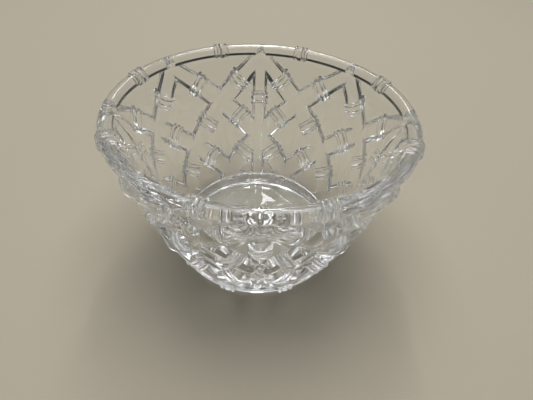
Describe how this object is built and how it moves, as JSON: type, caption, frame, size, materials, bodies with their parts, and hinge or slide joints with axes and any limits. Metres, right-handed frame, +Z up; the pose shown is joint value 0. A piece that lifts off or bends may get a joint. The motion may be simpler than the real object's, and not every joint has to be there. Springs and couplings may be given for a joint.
{
  "type": "cut glass bowl",
  "caption": "Round clear glass bowl, smooth inside, with a raised bamboo lattice outside and ringed collars on its rim and foot.",
  "frame": {"origin": "centre of the foot's flat underside, on the table", "axes": "+Z up along the bowl's axis, +Y towards the back of the bowl as pictured, through the top of a lattice apex"},
  "size_m": [0.2174, 0.2174, 0.1245],
  "materials": {
    "glass": "fire-polished clear pressed glass"
  },
  "bodies": {
    "root": {"glass_bowl": "glass"}
  },
  "joints": []
}
